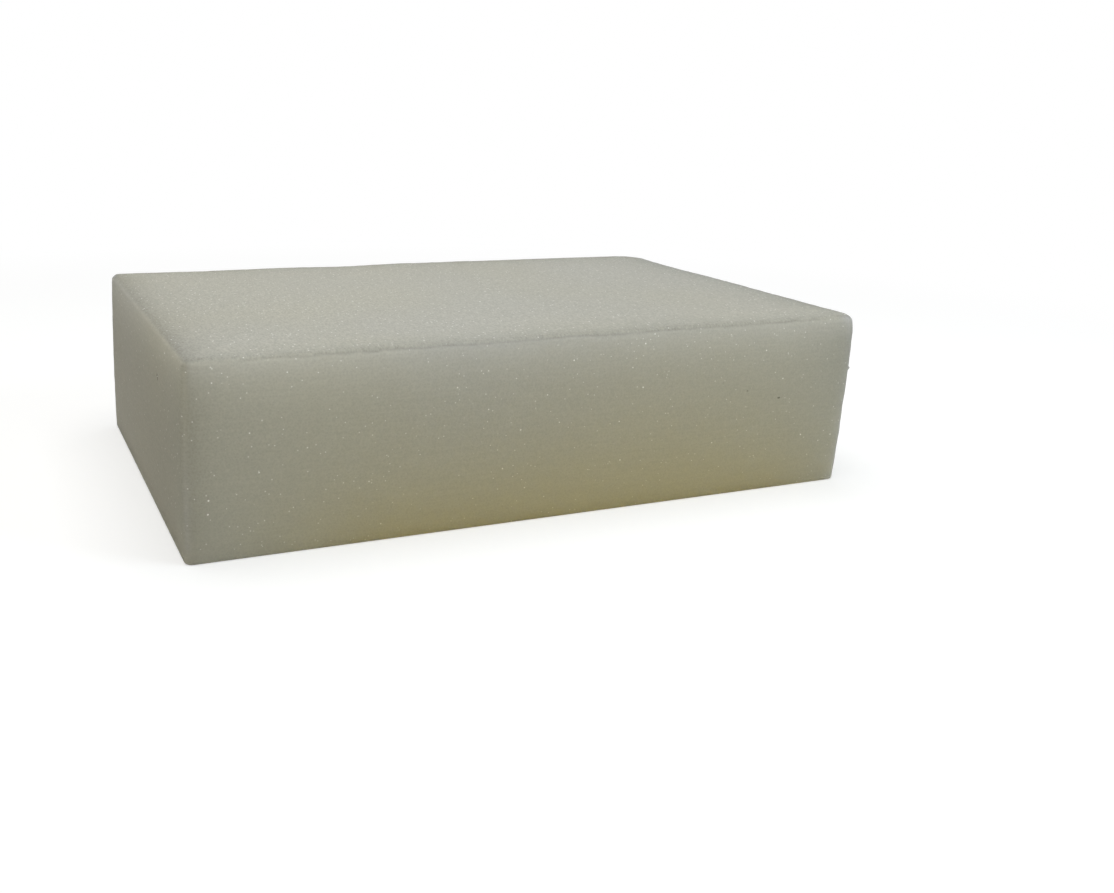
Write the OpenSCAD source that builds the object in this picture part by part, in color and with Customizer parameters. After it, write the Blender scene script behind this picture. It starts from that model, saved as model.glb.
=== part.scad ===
// Cleaning sponge: one rectangular block of fine open-celled foam, sawn from a bigger slab.
// X runs along the long front, Y runs from front to back and Z is up.
// The origin is in the middle of the flat underside.
// The block is a loft: rounded rectangles stacked from the underside to the top, then shrunk
// over the top face to its middle. Every point is then moved by the same small faults of the cut.

/* [Block] */
// Length of the block, left to right
length = 230; // [160:1:260]
// Depth of the block, front to back
depth = 150; // [100:1:200]
// Thickness of the block
thickness = 60; // [30:1:90]

/* [Saw cuts] */
// How far the top sits to the right of the underside
lean_right = 1.5; // [-3:0.1:3]
// How far the top sits towards the front of the underside
lean_front = 0.8; // [-3:0.1:3]
// How much thinner the block is at its front left corner
front_left_thin = 0.8; // [0:0.1:4]
// How far the sides swell out at half height
side_swell = 0.4; // [0:0.1:3]
// How far the top rises in its middle
top_swell = 0.3; // [0:0.1:3]

/* [Edges] */
// Radius of the edge all round the top
top_edge_r = 2.2; // [1:0.1:5]
// Radius of the edge all round the underside
base_edge_r = 1.2; // [0.6:0.1:4]
// How much of the underside's rounding the block's weight presses flat
base_settle = 0.2; // [0.1:0.05:0.4]
// Radius of the upright edge at the front left
front_left_r = 2.6; // [1:0.1:20]
// Radius of the upright edge at the front right
front_right_r = 3; // [1:0.1:20]
// Radius of the upright edge at the back right, which is crushed
back_right_r = 11; // [3:0.5:25]
// Radius of the upright edge at the back left
back_left_r = 2.4; // [1:0.1:20]

/* [Crease along the front of the top] */
// Depth of the crease
crease_depth = 0.4; // [0.1:0.05:0.8]
// Length over which the crease fades out before each end
crease_fade = 30; // [10:1:60]

/* [Pressed place near the back right of the top] */
// Depth of the dent
dent_depth = 0.6; // [0:0.1:3]
// Distance from the middle of the dent to its rim
dent_reach = 42; // [20:1:60]
// Distance from the right end to the middle of the dent
dent_from_right = 22; // [0:1:80]
// Distance from the back to the middle of the dent
dent_from_back = 34; // [0:1:80]

/* [Hidden] */

foam_colour = [0.71, 0.71, 0.67];

half_l = length / 2;
half_d = depth / 2;
// Upright edges in turn, seen from above: front left, front right, back right, back left
corner_radii = [front_left_r, front_right_r, back_right_r, back_left_r];
// Smallest radius that an upright edge keeps where the outline is drawn in
least_r = 0.4;
// Where an upright edge's arc starts, for the first of them
first_arc_angle = 180;

// Faces round an upright edge, round the top edge and round the underside's edge
corner_steps = 6;
top_edge_steps = 6;
base_edge_steps = 3;
// Level of the top edge that the crease runs along
crease_level = top_edge_steps / 2;
// Faces along the front and back, and along the two ends
run_steps = [14, 10];
// Faces up the wall, and from the edge of the top to its middle
wall_steps = 6;
top_steps = 8;

// A smooth step from 0 to 1
function ease(t) = let (c = min(max(t, 0), 1)) c * c * (3 - 2 * c);

// Shares of a run, from 0 to 1, that lie closer together near both ends
function run_share(i, steps) = (1 - cos(180 * i / steps)) / 2;

// Corner points of one quarter turn round an upright edge
function corner_arc(corner, half_x, half_y, r) =
    let (
        side_x = (corner == 0 || corner == 3) ? -1 : 1,
        side_y = corner < 2 ? -1 : 1,
        start = first_arc_angle + 90 * corner
    )
    [for (i = [0 : corner_steps])
        let (a = start + 90 * i / corner_steps)
        [side_x * (half_x - r) + r * cos(a), side_y * (half_y - r) + r * sin(a)]];

// Points strictly between two others, along one straight side
function straight_run(from, to, steps) =
    [for (i = [1 : steps - 1]) from + (to - from) * run_share(i, steps)];

// A rounded rectangle, counter-clockwise from the front left, drawn in by an inset
function outline(swell, inset) =
    let (
        arcs = [for (corner = [0 : 3])
            corner_arc(corner, half_l + swell - inset, half_d + swell - inset,
                max(corner_radii[corner] - inset, least_r))]
    )
    [for (corner = [0 : 3])
        each concat(
            arcs[corner],
            straight_run(arcs[corner][corner_steps], arcs[(corner + 1) % 4][0], run_steps[corner % 2])
        )];

// Swell of the sides: full at half height, none at the top and the underside
function wall_swell(z) = side_swell * 4 * (z / thickness) * (1 - z / thickness);

// How far the saw's and the hand's faults raise or lower the top at one place
function top_shift(x, y) =
    let (
        swell = top_swell * (1 - pow(x / half_l, 2)) * (1 - pow(y / half_d, 2)),
        thin = front_left_thin * (1 - x / half_l) * (1 - y / half_d) / 4,
        away = norm([x - (half_l - dent_from_right), y - (half_d - dent_from_back)]),
        dent = dent_depth * ease(1 - away / dent_reach)
    )
    swell - thin - dent;

// Share of the crease that one place along the front has
function crease_share(x, y) = y < 0 ? ease((half_l - abs(x)) / crease_fade) : 0;

// A point of a level in its final place: creased, thinned or swollen, and leaned
function placed(point, z, crease) =
    let (
        x = point[0],
        y = point[1],
        up = z / thickness,
        notch = crease * crease_depth * crease_share(x, y) * sqrt(0.5)
    )
    [
        x + lean_right * (up - 0.5),
        y - lean_front * (up - 0.5) + notch,
        z + up * top_shift(x, y) - notch
    ];

// Each level is its height, its inset and 1 where the crease runs along it, else 0
base_levels = [for (i = [0 : base_edge_steps])
    let (a = 90 * i / base_edge_steps)
    [base_edge_r * (1 - cos(a)) - base_settle, base_edge_r * (1 - sin(a)), 0]];
wall_low = base_edge_r - base_settle;
wall_high = thickness - top_edge_r;
wall_levels = [for (i = [1 : wall_steps - 1])
    [wall_low + (wall_high - wall_low) * i / wall_steps, 0, 0]];
top_levels = [for (i = [0 : top_edge_steps])
    let (a = 90 * i / top_edge_steps)
    [thickness - top_edge_r * (1 - sin(a)), top_edge_r * (1 - cos(a)), i == crease_level ? 1 : 0]];
levels = concat(base_levels, wall_levels, top_levels);

// Rings up the block, then rings that shrink over the top face
side_rings = [for (level = levels)
    [for (point = outline(wall_swell(level[0]), level[1])) placed(point, level[0], level[2])]];
top_outline = outline(0, top_edge_r);
top_rings = [for (i = [1 : top_steps - 1])
    [for (point = top_outline) placed(point * cos(90 * i / top_steps), thickness, 0)]];
rings = concat(side_rings, top_rings);
ring_size = len(top_outline);
middle = placed([0, 0], thickness, 0);

// The quads between each ring and the next, the fan to the middle of the top, and the underside
wall_faces = [for (ring = [0 : len(rings) - 2], i = [0 : ring_size - 1])
    let (
        low = ring * ring_size,
        next = (i + 1) % ring_size
    )
    [low + i, low + ring_size + i, low + ring_size + next, low + next]];
last_ring = (len(rings) - 1) * ring_size;
top_faces = [for (i = [0 : ring_size - 1])
    [last_ring + i, len(rings) * ring_size, last_ring + (i + 1) % ring_size]];
base_face = [[for (i = [0 : ring_size - 1]) i]];

// Everything below the surface that the block stands on
module below_underside() {
    translate([-length, -depth, -thickness])
        cube([2 * length, 2 * depth, thickness]);
}

module sponge() {
    color(foam_colour)
    difference() {
        polyhedron(
            points = concat([for (ring = rings) each ring], [middle]),
            faces = concat(wall_faces, top_faces, base_face),
            convexity = 4
        );
        below_underside();
    }
}

sponge();
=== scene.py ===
import math

import bpy
import numpy as np
from mathutils import Matrix, Vector


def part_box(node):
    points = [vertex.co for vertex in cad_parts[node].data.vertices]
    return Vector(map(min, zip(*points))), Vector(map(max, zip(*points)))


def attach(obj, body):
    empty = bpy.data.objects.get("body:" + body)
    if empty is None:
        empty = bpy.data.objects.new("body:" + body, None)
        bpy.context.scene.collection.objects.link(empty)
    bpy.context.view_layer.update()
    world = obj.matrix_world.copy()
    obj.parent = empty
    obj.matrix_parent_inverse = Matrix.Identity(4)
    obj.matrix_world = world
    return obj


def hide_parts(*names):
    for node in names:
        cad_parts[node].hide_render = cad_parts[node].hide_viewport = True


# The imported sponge, which fixes the size and the place of everything here. Lengths are in metres.
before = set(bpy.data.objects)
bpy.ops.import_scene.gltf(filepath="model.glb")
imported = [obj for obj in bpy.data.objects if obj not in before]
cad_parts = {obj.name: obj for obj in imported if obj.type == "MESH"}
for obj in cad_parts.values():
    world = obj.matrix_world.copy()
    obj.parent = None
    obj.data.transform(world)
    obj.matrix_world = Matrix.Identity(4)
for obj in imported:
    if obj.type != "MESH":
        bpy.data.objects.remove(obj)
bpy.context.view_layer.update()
MM = 0.001

# Faults of the cut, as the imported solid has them
LEAN_RIGHT = 1.5 * MM
LEAN_FRONT = 0.8 * MM
FRONT_LEFT_THIN = 0.8 * MM
SIDE_SWELL = 0.4 * MM
TOP_SWELL = 0.3 * MM
TOP_EDGE_R = 2.2 * MM
BASE_EDGE_R = 1.2 * MM
BASE_SETTLE = 0.2 * MM
# Radii of the upright edges: front left, front right, back right, back left
UPRIGHT_R = (2.6 * MM, 3.0 * MM, 11.0 * MM, 2.4 * MM)
DENT_DEPTH, DENT_REACH = 0.6 * MM, 42 * MM
DENT_FROM_RIGHT, DENT_FROM_BACK = 22 * MM, 34 * MM
# The crease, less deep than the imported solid's
CREASE_DEPTH, CREASE_FADE, CREASE_HALF_WIDTH = 0.2 * MM, 30 * MM, 1.0 * MM
# How far it lies below the middle of the edge, and how it wanders: (cell, size) of each noise
CREASE_DROP = 0.33 * MM
CREASE_WANDER = ((9 * MM, 0.22 * MM), (2.4 * MM, 0.14 * MM))
# How uneven its depth is: the noise's cell and its share of the depth
CREASE_UNEVEN_CELL, CREASE_UNEVEN_SHARE = 2.5 * MM, 0.4
# Seeds of the crease's noise: its depth, and the first of its wander
CREASE_DEPTH_SEED, CREASE_WANDER_SEED = 10, 20
# Points that face backward by this much aren't beside the crease, and count as this far away from it
FACES_BACK, FAR_FROM_CREASE = 0.5, 200 * MM
# Wear: the right margin and the left of the back margin of the top droop, and all the edges are
# rubbed back, most at the front right corner
RIGHT_DROOP, BACK_DROOP, DROOP_REACH = 0.3 * MM, 0.25 * MM, 14 * MM
# The back's droop dies away to the right over this length round its middle
BACK_DROOP_SPREAD = 60 * MM
# Low down the edges lose only a share of it. The rest comes in above a height, over its growth.
EDGE_WEAR, LOW_WEAR_SHARE = 0.2 * MM, 0.3
WEAR_HEIGHT, WEAR_GROWTH = 40 * MM, 15 * MM
CORNER_WEAR, CORNER_WEAR_REACH = 0.8 * MM, 6 * MM

low, high = (np.array(corner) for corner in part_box("sponge"))
half_l = (high[0] - low[0] - LEAN_RIGHT) / 2
half_d = (high[1] - low[1] - LEAN_FRONT) / 2
thickness = high[2] - low[2]

# The mesh: distance between its even lines, how close they come to those at the marks, the lines
# round each edge, and the rings under the block
PITCH = 1.05 * MM
LEAST_PITCH = PITCH / 3
EDGE_LINES = 6
UNDER_RINGS = 3

# Unevenness of the cut faces: (cell, height) of each layer of noise
FACE_NOISE = ((26 * MM, 0.13 * MM), (7 * MM, 0.05 * MM), (2.4 * MM, 0.025 * MM))
# Extra raggedness of the edges, which dies away into the faces
EDGE_NOISE = ((9 * MM, 0.16 * MM), (3 * MM, 0.12 * MM))
EDGE_NOISE_REACH = 2.5 * MM
# Height over which all of this and the marks grow to full, from nothing at the underside
RELIEF_START = 3 * MM
# Upward share of a point's direction from which it belongs to the top
TOP_TILT = 0.5
# Least length that is divided by
TINY = 1e-12

# Small marks: a slit in the left end, a speck and two dots on the front, a tag on the front right edge.
# Each has its place on its face, its half sizes and how bright its middle is beside the foam round it;
# the slit's dark middle is painted shade in its hollow.
SLIT = {"place": (-half_l, -33.6 * MM, 44.9 * MM), "half": (2 * MM, 0.7 * MM, 1.3 * MM), "level": 0.35}
SPECK = {"place": (84.8 * MM, -half_d, 32.9 * MM), "half": (0.65 * MM, 2 * MM, 0.35 * MM), "level": 0.4}
DOT = {"place": (71.4 * MM, -half_d, 36.4 * MM), "half": (0.45 * MM, 2 * MM, 0.4 * MM), "level": 0.72}
PALE_DOT = {"place": (61.3 * MM, -half_d, 39.9 * MM), "half": (0.4 * MM, 2 * MM, 0.5 * MM), "level": 0.85}
MARKS = (SLIT, SPECK, DOT, PALE_DOT)
# A mark is full up to the first of these distances from its middle, in half sizes, and ends at the other
MARK_RIM = (0.5, 1.3)
SLIT_DEPTH = 1.2 * MM
TAG_PLACE = (half_l, -half_d + 1.3 * MM, 41.1 * MM)
TAG_REACH, TAG_HEIGHT = 0.9 * MM, 0.6 * MM
# How blunt the tag's tip is: 1 for a plain hump, more for a wider flat tip
TAG_BLUNTNESS = 1.5
# Extra mesh lines at the marks, on each side of a mark's middle
MARK_LINES = (-0.7 * MM, -0.3 * MM, 0, 0.3 * MM, 0.7 * MM)

# Camera of the photograph, 1114 x 893 pixels
PHOTO_W, PHOTO_H = 1114, 893
CAMERA_PLACE = (-165.0 * MM, -385.2 * MM, 132.1 * MM)
CAMERA_AZIMUTH, CAMERA_ELEVATION, CAMERA_ROLL = -24.995, 16.232, 1.813
CAMERA_FOCUS_PX = 1165.2
CAMERA_CENTRE_PX = (498.25, 426.0)
SENSOR_MM = 36.0
# Nearest and farthest place that the camera sees, in metres
CAMERA_CLIP = (0.01, 20)


def ease(t):
    """A smooth step from 0 to 1."""
    t = np.clip(t, 0, 1)
    return t * t * (3 - 2 * t)


def lattice_noise(points, cell, seed):
    """Smooth noise from -1 to 1 with one value to each cell, at points in metres."""
    side = 64
    table = np.random.default_rng(seed).uniform(-1, 1, (side, side, side))
    place = points / cell
    corner = np.floor(place).astype(int)
    share = ease(place - corner)
    total = np.zeros(len(points))
    for dx in (0, 1):
        for dy in (0, 1):
            for dz in (0, 1):
                weight = np.ones(len(points))
                for axis, d in enumerate((dx, dy, dz)):
                    weight = weight * (share[:, axis] if d else 1 - share[:, axis])
                index = (corner + (dx, dy, dz)) % side
                total += weight * table[index[:, 0], index[:, 1], index[:, 2]]
    return total


def lines(start, end, start_r, end_r, marks):
    """Places of the mesh's lines along one axis: even, but closer round each edge and at the marks."""
    bend = 1 - np.tan(math.pi / 4 * (1 - np.arange(EDGE_LINES) / EDGE_LINES))
    even = np.arange(start + start_r, end - end_r - PITCH / 2, PITCH)
    far_enough = np.abs(even[:, None] - np.array(marks)[None, :]).min(axis=1) > LEAST_PITCH
    inner = np.sort(np.concatenate([even[far_enough], marks]))
    return np.concatenate([start + start_r * bend, inner, (end - end_r * bend)[::-1]])


def box_lattice(xs, ys, zs):
    """Points on a box's surface, the quads of its top and four sides, and its underside's outline."""
    nx, ny, nz = len(xs), len(ys), len(zs)
    i, j, k = np.meshgrid(np.arange(nx), np.arange(ny), np.arange(nz), indexing="ij")
    skin = (i == 0) | (i == nx - 1) | (j == 0) | (j == ny - 1) | (k == nz - 1)
    number = np.full((nx, ny, nz), -1)
    number[skin] = np.arange(skin.sum())
    points = np.stack([xs[i[skin]], ys[j[skin]], zs[k[skin]]], axis=1)

    def quads(sheet):
        corners = [sheet[:-1, :-1], sheet[1:, :-1], sheet[1:, 1:], sheet[:-1, 1:]]
        return np.stack(corners, axis=-1).reshape(-1, 4)

    faces = np.concatenate([
        quads(number[:, :, -1]),
        quads(number[:, 0, :]),
        quads(number[:, -1, :])[:, ::-1],
        quads(number[0, :, :])[:, ::-1],
        quads(number[-1, :, :]),
    ])
    rim = np.concatenate([
        number[0, :-1, 0],
        number[:-1, -1, 0],
        number[-1, :0:-1, 0],
        number[:0:-1, 0, 0],
    ])
    return points, faces, rim


def add_underside(points, faces, rim):
    """Adds the rings that carry the base edge's rounding under the block, and the flat underside."""
    outline = points[rim]
    ring = rim
    count = len(rim)
    for step in range(1, UNDER_RINGS + 1):
        inset = BASE_EDGE_R * (1 - math.tan(math.pi / 4 * (1 - step / UNDER_RINGS)))
        shrink = np.array([(half_l - inset) / half_l, (half_d - inset) / half_d, 1])
        new_ring = np.arange(count) + len(points)
        points = np.concatenate([points, outline * shrink])
        band = np.stack([ring, np.roll(ring, -1), np.roll(new_ring, -1), new_ring], axis=1)
        faces = np.concatenate([faces, band])
        ring = new_ring
    return points, faces.tolist() + [ring.tolist()]


def rounded(points):
    """Moves the points of a box onto the block with its rounded edges and upright corners."""
    x, y, z = points.T
    edge_r = np.where(z > thickness / 2, TOP_EDGE_R, BASE_EDGE_R)
    corner = np.where(y < 0, np.where(x < 0, 0, 1), np.where(x < 0, 3, 2))
    upright_r = np.maximum(np.array(UPRIGHT_R)[corner], edge_r)
    centre = np.stack([np.sign(x) * (half_l - upright_r), np.sign(y) * (half_d - upright_r)], axis=1)
    out = np.stack([np.abs(x) - (half_l - upright_r), np.abs(y) - (half_d - upright_r)], axis=1)
    in_corner = (out > 0).all(axis=1)
    # In a corner the square outline is first drawn in to a quarter circle
    side = np.maximum(out.max(axis=1), TINY)
    drawn = out * (side / np.maximum(np.linalg.norm(out, axis=1), TINY))[:, None]
    sign = np.sign(points[:, :2])
    points = points.copy()
    points[in_corner, :2] = (centre + sign * drawn)[in_corner]
    keep = np.minimum(side, upright_r - edge_r) / side
    turned = centre + sign * drawn * keep[:, None]
    straight = np.stack([
        np.clip(x, -half_l + edge_r, half_l - edge_r),
        np.clip(y, -half_d + edge_r, half_d - edge_r),
    ], axis=1)
    inner = np.column_stack([
        np.where(in_corner[:, None], turned, straight),
        np.clip(z, BASE_EDGE_R - BASE_SETTLE, thickness - TOP_EDGE_R),
    ])
    way = points - inner
    way /= np.maximum(np.linalg.norm(way, axis=1), TINY)[:, None]
    return inner + way * edge_r[:, None], way


def distance_from_edges(points):
    """How far each point of the box lies from the nearest edge of its face."""
    x, y, z = points.T
    gaps = np.stack([half_l - np.abs(x), half_d - np.abs(y), np.minimum(z, thickness - z)], axis=1)
    return np.maximum(np.sort(gaps, axis=1)[:, 1], 0)


def distance_from_upright_edges(points):
    """How far each point of a wall of the box lies from the nearest upright edge."""
    x, y, z = points.T
    return np.maximum(half_l - np.abs(x), half_d - np.abs(y))


def place_across_crease(points, way):
    """Distance over the front top edge: 0 on the crease, more towards the top, less down the front."""
    x, y, z = points.T
    quarter = TOP_EDGE_R * math.pi / 4
    turn = TOP_EDGE_R * np.arctan2(way[:, 2], -way[:, 1]) - quarter
    on_top = np.maximum(y + half_d - TOP_EDGE_R, 0)
    on_front = np.maximum(thickness - TOP_EDGE_R - z, 0)
    across = np.clip(turn, -quarter, quarter) + on_top - on_front + CREASE_DROP
    for seed, (cell, size) in enumerate(CREASE_WANDER, start=CREASE_WANDER_SEED):
        across += size * lattice_noise(points * (1, 0, 0), cell, seed)
    beside = (y < 0) & (z > thickness / 2) & (way[:, 1] < FACES_BACK)
    return np.where(beside, across, FAR_FROM_CREASE)


def faulty(points, normals):
    """Gives the block the faults of its cut, its dent and its droops."""
    x, y, z = points.T
    up = z / thickness
    swell = TOP_SWELL * (1 - (x / half_l) ** 2) * (1 - (y / half_d) ** 2)
    thin = FRONT_LEFT_THIN * (1 - x / half_l) * (1 - y / half_d) / 4
    away = np.hypot(x - (half_l - DENT_FROM_RIGHT), y - (half_d - DENT_FROM_BACK))
    dent = DENT_DEPTH * ease(1 - away / DENT_REACH)
    wall = np.column_stack([normals[:, :2], np.zeros(len(points))])
    moved = points + wall * (SIDE_SWELL * 4 * up * (1 - up))[:, None]
    moved[:, 0] += LEAN_RIGHT * (up - 0.5)
    moved[:, 1] -= LEAN_FRONT * (up - 0.5)
    droop = RIGHT_DROOP * ease(1 - (half_l - x) / DROOP_REACH)
    droop += BACK_DROOP * ease(1 - (half_d - y) / DROOP_REACH) * ease(0.5 - x / BACK_DROOP_SPREAD)
    moved[:, 2] += up * (swell - thin - dent - droop)
    return moved


def relief(points, from_edge, across):
    """How far the foam stands out of the smooth block: unevenness, wear, crease, slit and tag."""
    height = np.zeros(len(points))
    for seed, (cell, size) in enumerate(FACE_NOISE):
        height += size * lattice_noise(points, cell, seed)
    for seed, (cell, size) in enumerate(EDGE_NOISE, start=len(FACE_NOISE)):
        height += size * lattice_noise(points, cell, seed) * np.exp(-from_edge / EDGE_NOISE_REACH)
    worn = LOW_WEAR_SHARE + (1 - LOW_WEAR_SHARE) * ease((points[:, 2] - WEAR_HEIGHT) / WEAR_GROWTH)
    height -= EDGE_WEAR * worn * np.exp(-from_edge / EDGE_NOISE_REACH)
    corner_away = np.linalg.norm(points - (half_l, -half_d, thickness), axis=1)
    height -= CORNER_WEAR * ease(1 - corner_away / CORNER_WEAR_REACH)
    along = ease((half_l - np.abs(points[:, 0])) / CREASE_FADE)
    noise = lattice_noise(points, CREASE_UNEVEN_CELL, CREASE_DEPTH_SEED)
    uneven = 1 + CREASE_UNEVEN_SHARE * noise
    height -= CREASE_DEPTH * along * uneven * ease(1 - np.abs(across) / CREASE_HALF_WIDTH)
    slit_away = np.linalg.norm((points - SLIT["place"]) / SLIT["half"], axis=1)
    height -= SLIT_DEPTH * ease(MARK_RIM[1] - slit_away)
    tag_away = np.linalg.norm(points - TAG_PLACE, axis=1)
    height += TAG_HEIGHT * ease(TAG_BLUNTNESS * (1 - tag_away / TAG_REACH))
    return height * ease(points[:, 2] / RELIEF_START)


def make_block():
    x_marks = [SPECK["place"][0] + step for step in MARK_LINES]
    y_marks = [SLIT["place"][1] + step for step in MARK_LINES]
    z_marks = [TAG_PLACE[2] + step for step in MARK_LINES]
    xs = lines(-half_l, half_l, TOP_EDGE_R, TOP_EDGE_R, x_marks)
    ys = lines(-half_d, half_d, TOP_EDGE_R, TOP_EDGE_R, y_marks)
    zs = lines(-BASE_SETTLE, thickness, BASE_EDGE_R, TOP_EDGE_R, z_marks)
    points, faces, rim = box_lattice(xs, ys, zs)
    points, faces = add_underside(points, faces, rim)
    from_edge = distance_from_edges(points)
    smooth, normals = rounded(points)
    across = place_across_crease(points, normals)
    shaped = faulty(smooth, normals) + normals * relief(smooth, from_edge, across)[:, None]
    shaped[:, 2] = np.clip(shaped[:, 2], 0, None)
    mesh = bpy.data.meshes.new("foam_block")
    mesh.from_pydata(shaped.tolist(), [], faces)
    mesh.update()
    mesh.shade_smooth()
    shader_values = {
        "from_edge": from_edge,
        "from_upright": distance_from_upright_edges(points),
        "across_crease": across,
        "flat_top": ease((normals[:, 2] - TOP_TILT) / (1 - TOP_TILT)),
        "end_wall": ease(np.abs(normals[:, 0])),
    }
    for name, values in shader_values.items():
        mesh.attributes.new(name, "FLOAT", "POINT").data.foreach_set("value", values.astype(np.float32))
    block = bpy.data.objects.new("foam_block", mesh)
    bpy.context.scene.collection.objects.link(block)
    return block


class Value:
    """A number that a shader works out. A sum with it adds the node that does the sum."""

    def __init__(self, shader, socket):
        self.shader = shader
        self.socket = socket

    def __add__(self, other):
        return self.shader.math("ADD", self, other)

    def __radd__(self, other):
        return self.shader.math("ADD", other, self)

    def __sub__(self, other):
        return self.shader.math("SUBTRACT", self, other)

    def __rsub__(self, other):
        return self.shader.math("SUBTRACT", other, self)

    def __mul__(self, other):
        return self.shader.math("MULTIPLY", self, other)

    def __truediv__(self, other):
        return self.shader.math("DIVIDE", self, other)

    def __abs__(self):
        return self.shader.math("ABSOLUTE", self)


class Shader:
    """Adds nodes to one material or world. An input is a plain value or another node's output."""

    def __init__(self, tree):
        self.tree = tree
        tree.nodes.clear()

    def fill(self, socket, value):
        if isinstance(value, Value):
            self.tree.links.new(value.socket, socket)
        elif isinstance(value, bpy.types.NodeSocket):
            self.tree.links.new(value, socket)
        else:
            socket.default_value = value

    def node(self, kind, inputs=None, **settings):
        node = self.tree.nodes.new("ShaderNode" + kind)
        for name, value in settings.items():
            setattr(node, name, value)
        for name, value in (inputs or {}).items():
            self.fill(node.inputs[name], value)
        return node

    def value(self, node, output):
        return Value(self, node.outputs[output])

    def math(self, operation, *values):
        node = self.node("Math", operation=operation)
        for socket, value in zip(node.inputs, values):
            self.fill(socket, value)
        return self.value(node, 0)

    def larger(self, first, second):
        return self.math("MAXIMUM", first, second)

    def smaller(self, first, second):
        return self.math("MINIMUM", first, second)

    def step(self, value, ends):
        """0 before the first end, 1 past the second and a smooth step between them."""
        inputs = {"Value": value, "From Min": ends[0], "From Max": ends[1]}
        return self.value(self.node("MapRange", inputs, interpolation_type="SMOOTHSTEP"), "Result")

    def ramp(self, share, ends):
        """The first end where the share is 0, the second where it is 1."""
        return share * (ends[1] - ends[0]) + ends[0]

    def fade(self, distance, reach):
        """1 at no distance, dying away over the reach."""
        return self.math("EXPONENT", distance / -reach)

    def stretch(self, vector, factors):
        node = self.node("VectorMath", operation="MULTIPLY")
        self.fill(node.inputs[0], vector)
        node.inputs[1].default_value = factors
        return node.outputs["Vector"]

    def scale(self, vector, factor):
        node = self.node("VectorMath", {"Scale": factor}, operation="SCALE")
        self.fill(node.inputs[0], vector)
        return node.outputs["Vector"]

    def length(self, vector):
        node = self.node("VectorMath", operation="LENGTH")
        self.fill(node.inputs[0], vector)
        return self.value(node, "Value")

    def away(self, vector, centre, half):
        """Distance from a centre, counted in half sizes along each axis."""
        offset = self.node("VectorMath", operation="SUBTRACT")
        self.fill(offset.inputs[0], vector)
        offset.inputs[1].default_value = centre
        return self.length(self.stretch(offset.outputs["Vector"], [1 / value for value in half]))

    def blend(self, share, first, second):
        node = self.node("Mix", {"Factor": share}, data_type="RGBA")
        self.fill(node.inputs[6], first)
        self.fill(node.inputs[7], second)
        return node.outputs[2]

    def mix_shaders(self, share, first, second):
        node = self.node("MixShader", {"Fac": share})
        self.fill(node.inputs[1], first)
        self.fill(node.inputs[2], second)
        return node.outputs[0]

    def noise(self, vector, scale, detail=1.0):
        inputs = {"Vector": vector, "Scale": scale, "Detail": detail}
        return self.value(self.node("TexNoise", inputs), "Fac")

    def cells(self, vector, size):
        """Distance from the middle of the nearest cell, and one random value for each cell."""
        texture = self.node("TexVoronoi", {"Vector": vector, "Scale": 1 / size})
        random = self.node("TexWhiteNoise", {"Vector": texture.outputs["Color"]})
        return self.value(texture, "Distance"), self.value(random, "Value")

    def attribute(self, name):
        return self.value(self.node("Attribute", attribute_name=name), "Fac")


# The foam's material. Its lengths are in millimetres. A pair of places is where something starts and
# where it is full. A pair of strengths goes with such places or with two kinds of face: the long
# walls and then the ends, or the walls and then the top.
RIGHT_X, BACK_Y, TOP_Z = (float(value / MM) for value in (half_l, half_d, thickness))
# Middle of a noise texture's and of a random value's range
MIDDLE = 0.5

# Colours of the foam and of its painted glints, in linear light
FOAM_GREY = (0.463, 0.455, 0.411, 1)
FOAM_YELLOW = (0.474, 0.458, 0.380, 1)
FOAM_RIM = (0.463, 0.460, 0.457, 1)
GLINT_COLOUR = (0.95, 0.95, 0.92, 1)

# The band along each edge that isn't on a flat face, and how far down light from the top comes through
EDGE_BAND = (-0.5, 3)
UNDER_TOP_REACH = 8
# The back and right edges, where the light behind them is painted as coming through
FAR_RIM_REACH, FAR_RIM_WIDTH = 2.2, (8, 3)
# Share of the walls' painted shade that the band along a wall's edges loses, so it is painted lighter: on
# the long walls, on the ends
EDGE_BAND_SHARE = (0.6, 0.45)


class FoamPlace:
    """Where a point of the foam lies: its place, its distances, and which face or edge it is on."""

    def __init__(self, s):
        self.vector = s.scale(s.node("TexCoord").outputs["Object"], 1 / MM)
        axes = s.node("SeparateXYZ", {"Vector": self.vector})
        self.x = s.value(axes, "X")
        self.z = s.value(axes, "Z")
        y = s.value(axes, "Y")
        self.from_front = y + BACK_Y
        self.from_left = self.x + RIGHT_X
        self.from_right = RIGHT_X - self.x
        self.from_middle = abs(self.x)
        self.depth = TOP_Z - self.z
        self.from_edge = s.attribute("from_edge") / MM
        self.from_upright = s.attribute("from_upright") / MM
        self.across_crease = s.attribute("across_crease") / MM
        self.on_top = s.attribute("flat_top")
        self.on_wall = 1 - self.on_top
        self.on_end = s.attribute("end_wall")
        self.off_edge = s.step(self.from_edge, EDGE_BAND)
        # The edge band's share of the walls' painted shade that it loses, also used to pale the low
        # upright edges
        self.edge_band_share = (1 - self.off_edge) * s.ramp(self.on_end, EDGE_BAND_SHARE)
        self.under_top = s.fade(self.depth, UNDER_TOP_REACH) * self.on_wall
        at_far = s.larger(s.step(BACK_Y - y, FAR_RIM_WIDTH), s.step(self.from_right, FAR_RIM_WIDTH))
        self.far_rim = s.fade(self.from_edge, FAR_RIM_REACH) * at_far


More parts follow.
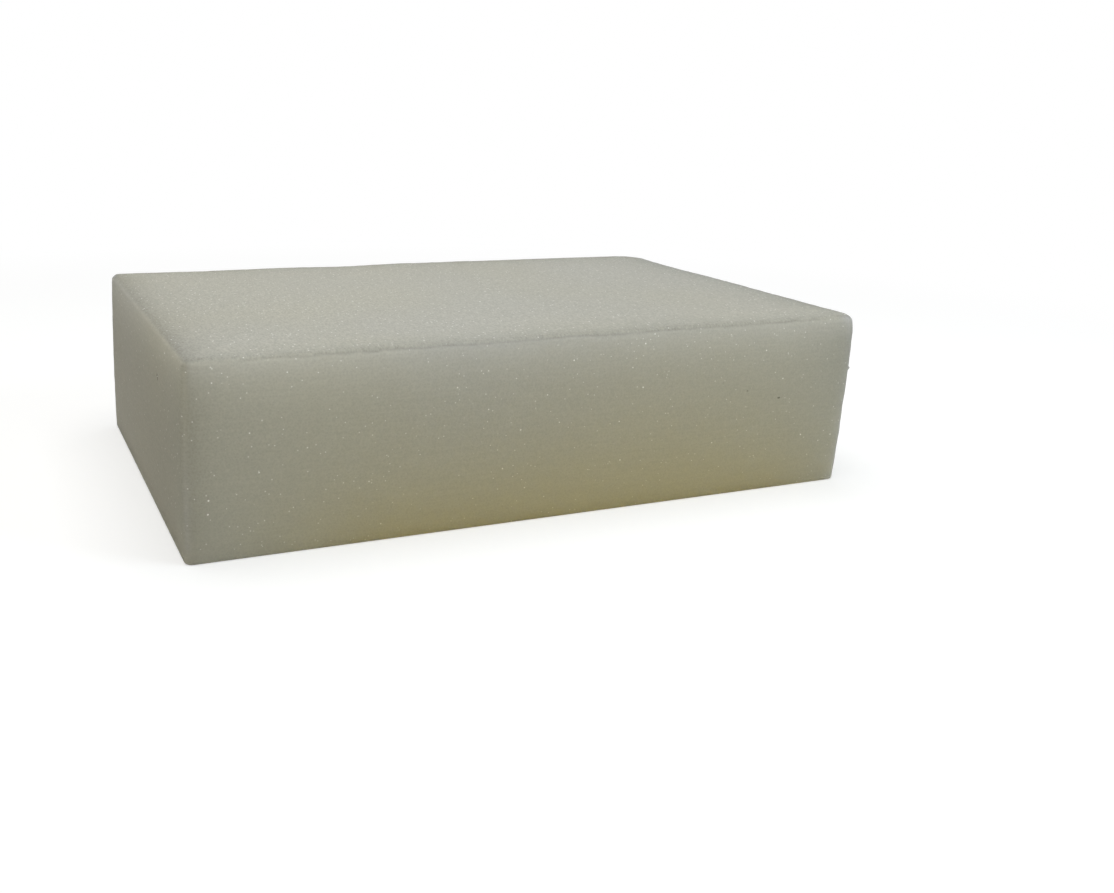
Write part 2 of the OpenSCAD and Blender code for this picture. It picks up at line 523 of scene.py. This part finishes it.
# Yellower foam: in patches all over, on the left of the top, and to the left and right of the walls
PATCH_SIZE, PATCH_RANGE, PATCH_SHARE = 80, (0.3, 0.7), 0.4
YELLOW_TOP_X, YELLOW_TOP_FRONT, YELLOW_TOP_SHARE = (10, -80), (15, 60), 0.5
YELLOW_LEFT_X, YELLOW_LEFT_FRONT = (-30, -95), (170, 40)
YELLOW_RIGHT_X, YELLOW_RIGHT_SHARE = (10, 60), 0.35
YELLOW_SHARE = 0.75
# Paler foam: painted light through the foam in the band under the front and back edges of the top and at
# the back and right edges; also paler at the back of the ends and low on the upright edges
BAND_SHARE, BAND_MOST, BAND_DEPTH = (0.5, 0), 0.28, (-0.5, 3)
BACK_END_SHARE = 0.2
FAR_RIM_SHARE = 0.9
LOW_EDGE_HEIGHT, LOW_EDGE_FOOT, LOW_EDGE_SHARE = (45, 10), (1, 6), 0.8


def foam_tint(s, at):
    """The foam's colour: grey, yellower in places and paler at the rims; under the top's edges and at the
    back and right edges that paleness is painted light through the foam.
    """
    patches = s.step(s.noise(at.vector, 1 / PATCH_SIZE), PATCH_RANGE) * PATCH_SHARE
    top = s.step(at.x, YELLOW_TOP_X) * s.step(at.from_front, YELLOW_TOP_FRONT) * YELLOW_TOP_SHARE
    left = s.step(at.x, YELLOW_LEFT_X) * s.step(at.from_front, YELLOW_LEFT_FRONT)
    right = s.step(at.x, YELLOW_RIGHT_X) * YELLOW_RIGHT_SHARE
    yellow = (top * at.on_top + (left + right) * at.on_wall) * YELLOW_SHARE + patches
    band = s.smaller(at.under_top * s.ramp(at.on_end, BAND_SHARE), BAND_MOST)
    rim = band * s.step(at.depth, BAND_DEPTH)
    rim = rim + at.from_front * (BACK_END_SHARE / (2 * BACK_Y)) * at.on_end
    rim = rim + at.far_rim * FAR_RIM_SHARE
    low_edge = at.edge_band_share * s.step(at.z, LOW_EDGE_HEIGHT) * at.on_wall
    rim = rim + low_edge * s.step(at.z, LOW_EDGE_FOOT) * LOW_EDGE_SHARE
    return s.blend(s.smaller(rim, 1), s.blend(yellow, FOAM_GREY, FOAM_YELLOW), FOAM_RIM)


# Cells, which are longer from front to back: their size, the mean distance from their middles, how
# much lighter their rims are, and how much they differ. The walls have a share of that.
CELL, CELL_STRETCH = 0.55, (1, 0.48, 1)
CELL_MEAN, CELL_RIM_LIGHT, CELL_SPREAD = 0.47, 0.26, 0.14
WALL_GRAIN = 0.5
CELL_BUMP, CELL_BUMP_HEIGHT = 0.5, 0.05 * MM
# Faint streaks of the saw along the walls
STREAK_LENGTH, STREAK_HEIGHT, STREAK_LIGHT, STREAK_DETAIL = 14, 0.7, 0.10, 2.0


def foam_grain(s, at, from_cell, cell_random):
    """Light and dark of the cells, stronger on the top."""
    grain = (from_cell - CELL_MEAN) * CELL_RIM_LIGHT + (cell_random - MIDDLE) * CELL_SPREAD
    return grain * s.ramp(at.on_top, (WALL_GRAIN, 1))


def saw_streaks(s, at):
    """Light and dark of the streaks, on the walls alone."""
    factors = (1 / STREAK_LENGTH, 1 / STREAK_LENGTH, 1 / STREAK_HEIGHT)
    streaks = s.noise(s.stretch(at.vector, factors), 1.0, STREAK_DETAIL) - MIDDLE
    return streaks * STREAK_LIGHT * at.on_wall


# Painted shade that darkens the margins of the top: all round, at the right and at the left, more at the
# near end of both
MARGIN_REACH, MARGIN_SHADE = 8, 0.22
RIGHT_REACH, RIGHT_SHADE, RIGHT_FRONT = 16, (0.10, 0.16), (75, 20)
LEFT_REACH, LEFT_SHADE, LEFT_FRONT = 7, (0.03, 0.07), (90, 30)
# Less so along the front, least towards its ends but for the corner at the left
FRONT_REACH, FRONT_LIGHT = 8, (0.03, 0.15)
FRONT_ENDS, FRONT_CORNER = (45, RIGHT_X), (2, 25)
# The rounded edges get a little less of this painted shade, but for the left one
ROUNDED_SHARE, LEFT_EDGE_REACH = (0.8, 1), 6


def painted_shade_top(s, at):
    """How much painted shade darkens the top towards its edges."""
    right = s.fade(at.from_right, RIGHT_REACH) * s.ramp(s.step(at.from_front, RIGHT_FRONT), RIGHT_SHADE)
    left = s.fade(at.from_left, LEFT_REACH) * s.ramp(s.step(at.from_front, LEFT_FRONT), LEFT_SHADE)
    to_ends = s.step(at.from_middle, FRONT_ENDS) * s.step(at.from_left, FRONT_CORNER)
    front = s.fade(at.from_front, FRONT_REACH) * s.ramp(to_ends, FRONT_LIGHT)
    painted_shade = s.fade(at.from_edge, MARGIN_REACH) * MARGIN_SHADE + right - front + left
    full = s.larger(at.off_edge, s.fade(at.from_left, LEFT_EDGE_REACH))
    return painted_shade * s.ramp(full, ROUNDED_SHARE)


# Painted shade on the walls: beside the upright edges, on the long walls and on the ends; then the near
# part of the ends, in a margin and fainter over its half
UPRIGHT_REACH, UPRIGHT_SHADE = 11, (0.24, 0.09)
END_REACH, END_SHADE = 45, 0.12
END_FRONT, END_HEIGHT, END_FAINT_SHADE = (115, 60), (14, 30), 0.035
# The right of the walls, high up
RIGHT_WALL_REACH, RIGHT_WALL_HEIGHT, RIGHT_WALL_SHADE = 12, (22, 45), 0.10
# Less so high up at the left, at the top's edges and low down
HIGH_LEFT_X, HIGH_LEFT_HEIGHT, HIGH_LEFT_LOSS = (-80, -105), (42, 54), 0.2
SHADE_DEPTH, SHADE_HEIGHT = (-3, 10), (-14, 14)


def painted_shade_walls(s, at):
    """How much painted shade darkens the walls towards their upright edges."""
    painted_shade = s.fade(at.from_upright, UPRIGHT_REACH) * s.ramp(at.on_end, UPRIGHT_SHADE)
    painted_shade = painted_shade + s.fade(at.from_front, END_REACH) * END_SHADE * at.on_end
    painted_shade = painted_shade * (1 - at.edge_band_share)
    near_end = s.step(at.from_front, END_FRONT) * s.step(at.z, END_HEIGHT) * at.on_end * at.off_edge
    painted_shade = painted_shade + near_end * END_FAINT_SHADE
    right = s.fade(at.from_right, RIGHT_WALL_REACH) * s.step(at.z, RIGHT_WALL_HEIGHT)
    painted_shade = painted_shade + right * RIGHT_WALL_SHADE
    high_left = s.step(at.x, HIGH_LEFT_X) * s.step(at.z, HIGH_LEFT_HEIGHT) * HIGH_LEFT_LOSS
    return painted_shade * s.step(at.depth, SHADE_DEPTH) * (1 - high_left) * s.step(at.z, SHADE_HEIGHT)


# Painted light, standing in for light through the foam: under the edges of the top, more at the left of
# the front, less on the ends
UNDER_TOP_X, UNDER_TOP_GLOW, UNDER_TOP_END_LOSS = (-40, -80), (0.05, 0.10), 0.15
# at the foot of the walls, and higher up on the ends, most at their back
FOOT_REACH, FOOT_GLOW = 5, 0.30
END_FOOT_REACH, END_FOOT_GLOW, END_FOOT_FRONT, END_FOOT_SHARE = 18, 0.12, (0, 120), (0.3, 1)
# left of the middle of the top, and at the back and right edges
TOP_GLOW_RIGHT, TOP_GLOW_LEFT, TOP_GLOW = (30, -20), (-110, -60), 0.025
FAR_RIM_GLOW = 0.10
# and along the right edge of the long walls, more low down
RIGHT_EDGE_REACH, RIGHT_EDGE_HEIGHT, RIGHT_EDGE_GLOW = 2.4, (50, 8), (0.26, 0.56)


def painted_light_through(s, at):
    """How much lighter the foam's colour is painted where light from its other faces would come through.
    """
    front = s.ramp(s.step(at.x, UNDER_TOP_X), UNDER_TOP_GLOW)
    glow = at.under_top * (front - at.on_end * UNDER_TOP_END_LOSS)
    glow = glow + s.fade(at.z, FOOT_REACH) * FOOT_GLOW
    top = s.step(at.x, TOP_GLOW_RIGHT) * s.step(at.x, TOP_GLOW_LEFT) * at.on_top
    glow = glow + top * TOP_GLOW
    end_foot = s.fade(at.z, END_FOOT_REACH) * at.on_end
    end_foot = end_foot * s.ramp(s.step(at.from_front, END_FOOT_FRONT), END_FOOT_SHARE)
    glow = glow + end_foot * END_FOOT_GLOW + at.far_rim * FAR_RIM_GLOW
    right_edge = s.fade(at.from_right, RIGHT_EDGE_REACH) * at.on_wall * (1 - at.on_end)
    return glow + right_edge * s.ramp(s.step(at.z, RIGHT_EDGE_HEIGHT), RIGHT_EDGE_GLOW)


# The crease: a ragged dark line of painted shade, darker in patches, and light and dark fibres combed
# across it
CREASE_LINE, CREASE_DARK = (0, 1.0), (0.17, 0.23)
CREASE_PATCH, CREASE_PATCH_RANGE = 5, (0.4, 0.6)
FIBRE_WIDTH, FIBRE_LENGTH, FIBRE_DETAIL = 0.6, 1.8, 2.0
FIBRE_PLACE, FIBRE_LIGHT = (0.5, 4.5), 0.18


def fibres_and_crease_shade(s, at):
    """Light and dark of the fibres, and how dark the crease's painted shade is."""
    fibre_place = s.node("CombineXYZ", {
        "X": at.x / FIBRE_WIDTH,
        "Y": at.across_crease / FIBRE_LENGTH,
    }).outputs["Vector"]
    fibres = s.noise(fibre_place, 1.0, FIBRE_DETAIL) - MIDDLE
    near_crease = 1 - s.step(abs(at.across_crease), FIBRE_PLACE)
    line = 1 - s.step(abs(at.across_crease + fibres), CREASE_LINE)
    along = s.step(at.from_middle, (RIGHT_X, RIGHT_X - CREASE_FADE / MM))
    patches = s.step(s.noise(at.vector, 1 / CREASE_PATCH), CREASE_PATCH_RANGE)
    return fibres * near_crease * FIBRE_LIGHT, line * along * s.ramp(patches, CREASE_DARK)


def marked(s, at, mark):
    """How bright the foam is beside the rest at one of the small marks."""
    centre = [value / MM for value in mark["place"]]
    half = [value / MM for value in mark["half"]]
    return s.ramp(s.step(s.away(at.vector, centre, half), MARK_RIM), (mark["level"], 1))


# Painted glints, where the cells' walls would catch the light, more of them and brighter on the top,
# which faces
# the light: size of a cell, its random value from which it has a glint, the glint's rim as a share of the
# cell, and its strength
GLINT_CELL, GLINT_STRETCH = 1.1, (1, 0.55, 1)
GLINT_FROM, GLINT_RIM, GLINT_LIGHT = (0.87, 0.78), (0.12, 0.24), (0.55, 0.70)
# Fewer and brighter ones, fewest at the right of the top: the random value from which a cell has one
# on the walls, and how much later that is on the top, at its right and at its left
STAR_CELL, STAR_RIM, STAR_LIGHT, STAR_MOST = 3.0, (0.04, 0.12), 1.2, 0.9
STAR_X, STAR_FROM, STAR_TOP_DELAY = (60, -90), 0.55, (0.23, -0.02)


def with_painted_glints(s, at, colour):
    """Adds the painted glints to the foam's colour."""
    from_glint, glint_random = s.cells(s.stretch(at.vector, GLINT_STRETCH), GLINT_CELL)
    rare = s.math("GREATER_THAN", glint_random, s.ramp(at.on_top, GLINT_FROM))
    glint = rare * (1 - s.step(from_glint, GLINT_RIM)) * s.ramp(at.on_top, GLINT_LIGHT)
    colour = s.blend(glint, colour, GLINT_COLOUR)
    from_star, star_random = s.cells(at.vector, STAR_CELL)
    delay = at.on_top * s.ramp(s.step(at.x, STAR_X), STAR_TOP_DELAY)
    star = (1 - s.step(from_star, STAR_RIM)) * s.step(star_random, (delay + STAR_FROM, 1))
    return s.blend(s.smaller(star * STAR_LIGHT, STAR_MOST), colour, GLINT_COLOUR)


def foam_material():
    """Fine foam with cells, painted glints, saw streaks, painted shade at its margins, painted light at
    its rims, the crease with its painted shade, and marks.
    """
    made = bpy.data.materials.new("foam")
    made.use_nodes = True
    s = Shader(made.node_tree)
    at = FoamPlace(s)
    from_cell, cell_random = s.cells(s.stretch(at.vector, CELL_STRETCH), CELL)
    fibres, crease = fibres_and_crease_shade(s, at)
    level = foam_grain(s, at, from_cell, cell_random) + saw_streaks(s, at) + fibres
    level = level + painted_light_through(s, at) + 1
    # Painted shade: the margins of the top and the walls, and the crease's dark line
    painted_shade = painted_shade_top(s, at) * at.on_top + painted_shade_walls(s, at) * at.on_wall
    level = level * (1 - painted_shade) * (1 - crease)
    for mark in MARKS:
        level = level * marked(s, at, mark)
    colour = with_painted_glints(s, at, s.scale(foam_tint(s, at), level))
    bump = s.node("Bump", {"Strength": CELL_BUMP, "Distance": CELL_BUMP_HEIGHT, "Height": from_cell})
    shader = s.node("BsdfPrincipled", {
        "Base Color": colour,
        "Roughness": 0.9,
        "Specular IOR Level": 0.15,
        "Subsurface Weight": 0.9,
        "Subsurface Radius": (1, 1, 1),
        "Subsurface Scale": 0.03,
        "Normal": bump.outputs["Normal"],
    })
    shader.subsurface_method = "BURLEY"
    s.node("OutputMaterial", {"Surface": shader.outputs[0]})
    return made


# The floor is white to the camera and keeps the block's shadow close to it. Lengths are in metres.
FLOOR_HALF_SIDE, FLOOR_GAP = 3.0, 0.05 * MM
FLOOR_SEEN, FLOOR_GLOW = (0.62, 0.62, 0.62, 1), 0.5
SHADOW_FADE = (0.25, 0.6)
# The light that it gives back to the block, warmer from an oval patch along the front
FLOOR_BOUNCE = (0.84, 0.81, 0.73, 1)
WARM_BOUNCE = (0.90, 0.68, 0.05, 1)
WARM_CENTRE, WARM_REACH, WARM_RIM = (0.014, -0.085), (0.106, 0.035), (0.6, 1.2)

# Soft studio light: white all round to the camera, dim and faintly warm on the block
WORLD_COLOUR, WORLD_STRENGTH = (1, 1, 0.95, 1), 0.11
LAMPS = {
    "overhead": {"place": (-0.1, 0, 1.1), "size": 1.2, "power": 11.4, "colour": (1, 1, 0.98)},
    "right": {"place": (0.9, -0.7, 0.5), "size": 0.6, "power": 4.4, "colour": (0.87, 1, 1.09)},
}


def seen_directly(s):
    """1 for the rays that see the background: from the camera, in a reflection or passing through."""
    path = s.node("LightPath")
    seen = s.larger(s.value(path, "Is Camera Ray"), s.value(path, "Is Glossy Ray"))
    return s.larger(seen, s.value(path, "Is Transmission Ray"))


def floor_material():
    made = bpy.data.materials.new("floor")
    made.use_nodes = True
    s = Shader(made.node_tree)
    place = s.node("TexCoord").outputs["Object"]
    from_warm = s.away(place, (*WARM_CENTRE, 0), (*WARM_REACH, 1))
    colour = s.blend(s.step(from_warm, WARM_RIM), WARM_BOUNCE, FLOOR_BOUNCE)
    bounce = s.node("BsdfDiffuse", {"Color": colour}).outputs[0]
    near = s.node("AddShader")
    s.fill(near.inputs[0], s.node("BsdfDiffuse", {"Color": FLOOR_SEEN}).outputs[0])
    s.fill(near.inputs[1], s.node("Emission", {"Strength": FLOOR_GLOW}).outputs[0])
    white = s.node("Emission", {"Strength": 1.0}).outputs[0]
    seen = s.mix_shaders(s.step(s.length(place), SHADOW_FADE), near.outputs[0], white)
    s.node("OutputMaterial", {"Surface": s.mix_shaders(seen_directly(s), bounce, seen)})
    return made


def make_floor():
    mesh = bpy.data.meshes.new("floor")
    side = FLOOR_HALF_SIDE
    corners = [(-side, -side, 0), (side, -side, 0), (side, side, 0), (-side, side, 0)]
    mesh.from_pydata(corners, [], [(0, 1, 2, 3)])
    floor = bpy.data.objects.new("floor", mesh)
    floor.location = (0, 0, -FLOOR_GAP)
    bpy.context.scene.collection.objects.link(floor)
    floor.data.materials.append(floor_material())


def make_world():
    world = bpy.data.worlds.new("studio")
    bpy.context.scene.world = world
    world.use_nodes = True
    s = Shader(world.node_tree)
    fill = s.node("Background", {"Color": WORLD_COLOUR, "Strength": WORLD_STRENGTH}).outputs[0]
    white = s.node("Background", {"Color": (1, 1, 1, 1), "Strength": 1.0}).outputs[0]
    s.node("OutputWorld", {"Surface": s.mix_shaders(seen_directly(s), fill, white)})


def make_lamp(name, place, size, power, colour):
    """A soft square lamp that faces the block."""
    light = bpy.data.lights.new(name, "AREA")
    light.shape = "SQUARE"
    light.size = size
    light.energy = power
    light.color = colour
    lamp = bpy.data.objects.new(name, light)
    bpy.context.scene.collection.objects.link(lamp)
    lamp.location = place
    lamp.rotation_mode = "QUATERNION"
    lamp.rotation_quaternion = (-Vector(place)).to_track_quat("-Z", "Y")


def make_camera():
    data = bpy.data.cameras.new("camera")
    camera = bpy.data.objects.new("camera", data)
    bpy.context.scene.collection.objects.link(camera)
    azimuth, elevation = math.radians(CAMERA_AZIMUTH), math.radians(CAMERA_ELEVATION)
    back = Vector((
        math.sin(azimuth) * math.cos(elevation),
        -math.cos(azimuth) * math.cos(elevation),
        math.sin(elevation),
    ))
    aim = (-back).to_track_quat("-Z", "Y").to_matrix().to_4x4()
    roll = Matrix.Rotation(math.radians(CAMERA_ROLL), 4, "Z")
    camera.matrix_world = Matrix.Translation(CAMERA_PLACE) @ aim @ roll
    data.sensor_width = SENSOR_MM
    data.lens = SENSOR_MM * CAMERA_FOCUS_PX / PHOTO_W
    data.shift_x = (PHOTO_W / 2 - CAMERA_CENTRE_PX[0]) / PHOTO_W
    data.shift_y = (CAMERA_CENTRE_PX[1] - PHOTO_H / 2) / PHOTO_W
    data.clip_start, data.clip_end = CAMERA_CLIP
    bpy.context.scene.camera = camera


block = make_block()
block.data.materials.append(foam_material())
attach(block, "root")
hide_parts("sponge")

make_floor()
make_world()
for lamp_name, lamp_values in LAMPS.items():
    make_lamp(lamp_name, **lamp_values)
make_camera()
bpy.context.scene.view_settings.view_transform = "Standard"
